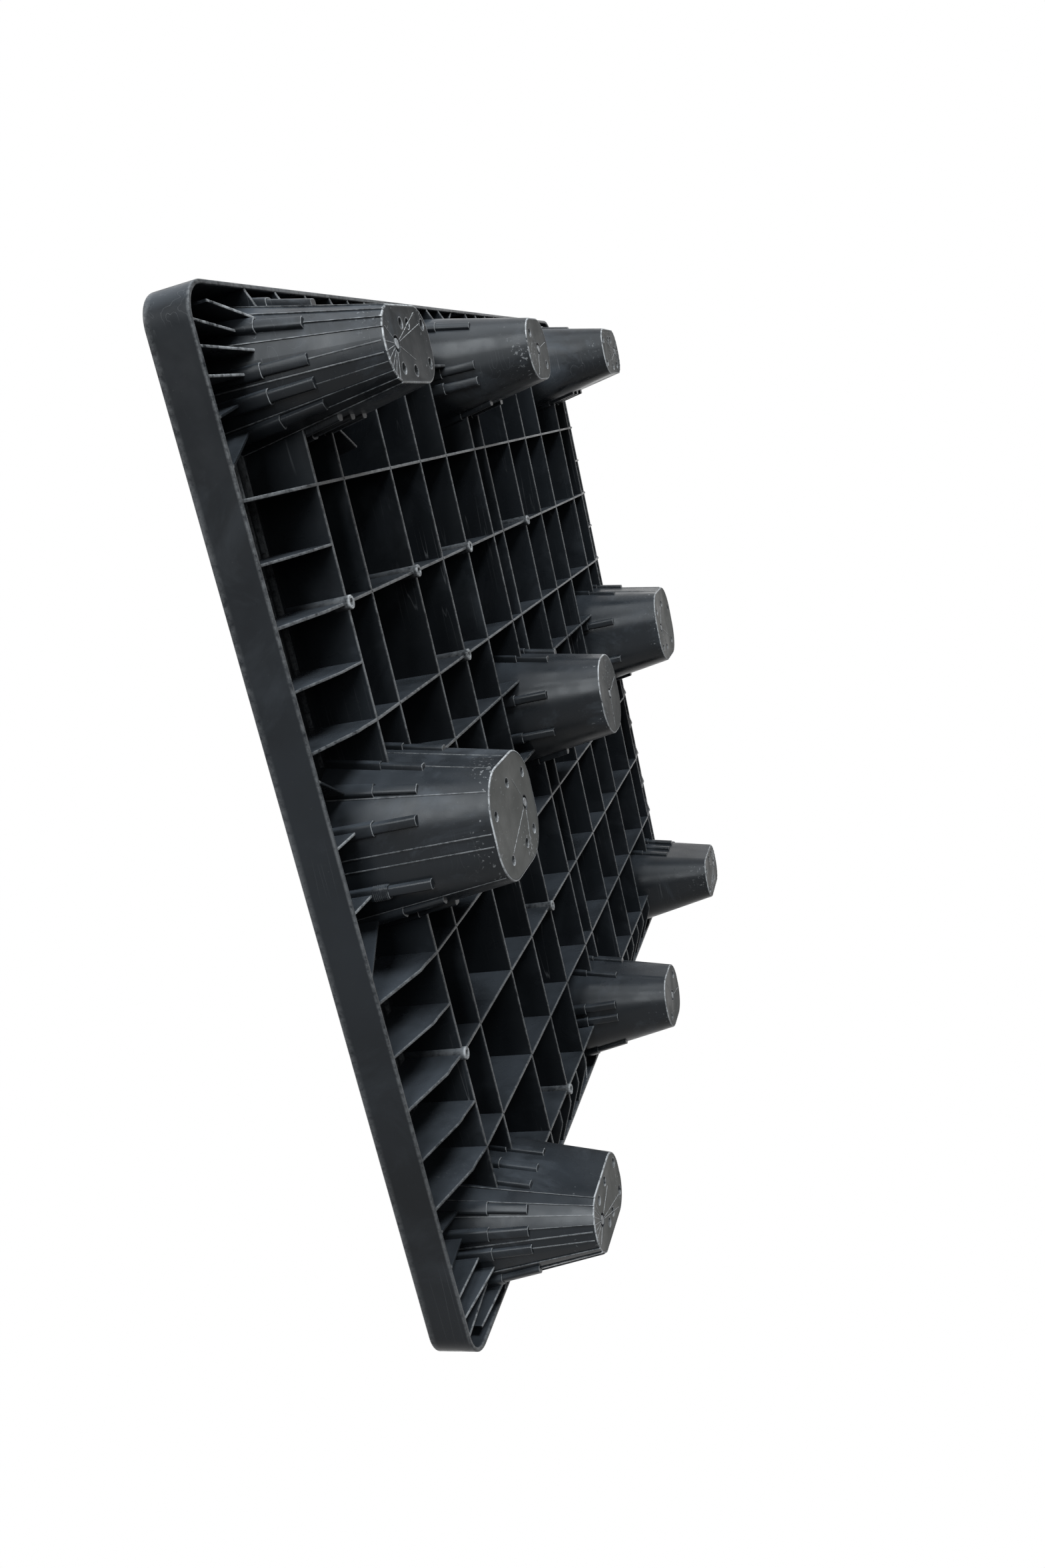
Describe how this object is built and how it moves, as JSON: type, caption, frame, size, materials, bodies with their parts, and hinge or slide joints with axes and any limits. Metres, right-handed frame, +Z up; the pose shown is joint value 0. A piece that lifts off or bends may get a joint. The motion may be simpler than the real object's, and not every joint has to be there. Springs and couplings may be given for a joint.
{
  "type": "nestable pallet",
  "caption": "Moulded one-piece pallet with a closed deck, a lattice of ribs beneath it and tapered hollow feet that nest into the next pallet.",
  "frame": {"origin": "on the floor under the middle of the deck, with the feet standing on the floor", "axes": "+X along the long side, +Y along the short side, +Z up through the deck"},
  "size_m": [1.2, 1, 0.16],
  "materials": {
    "moulding": "satin black, scuffed"
  },
  "bodies": {
    "root": {"pallet": "moulding"}
  },
  "joints": []
}
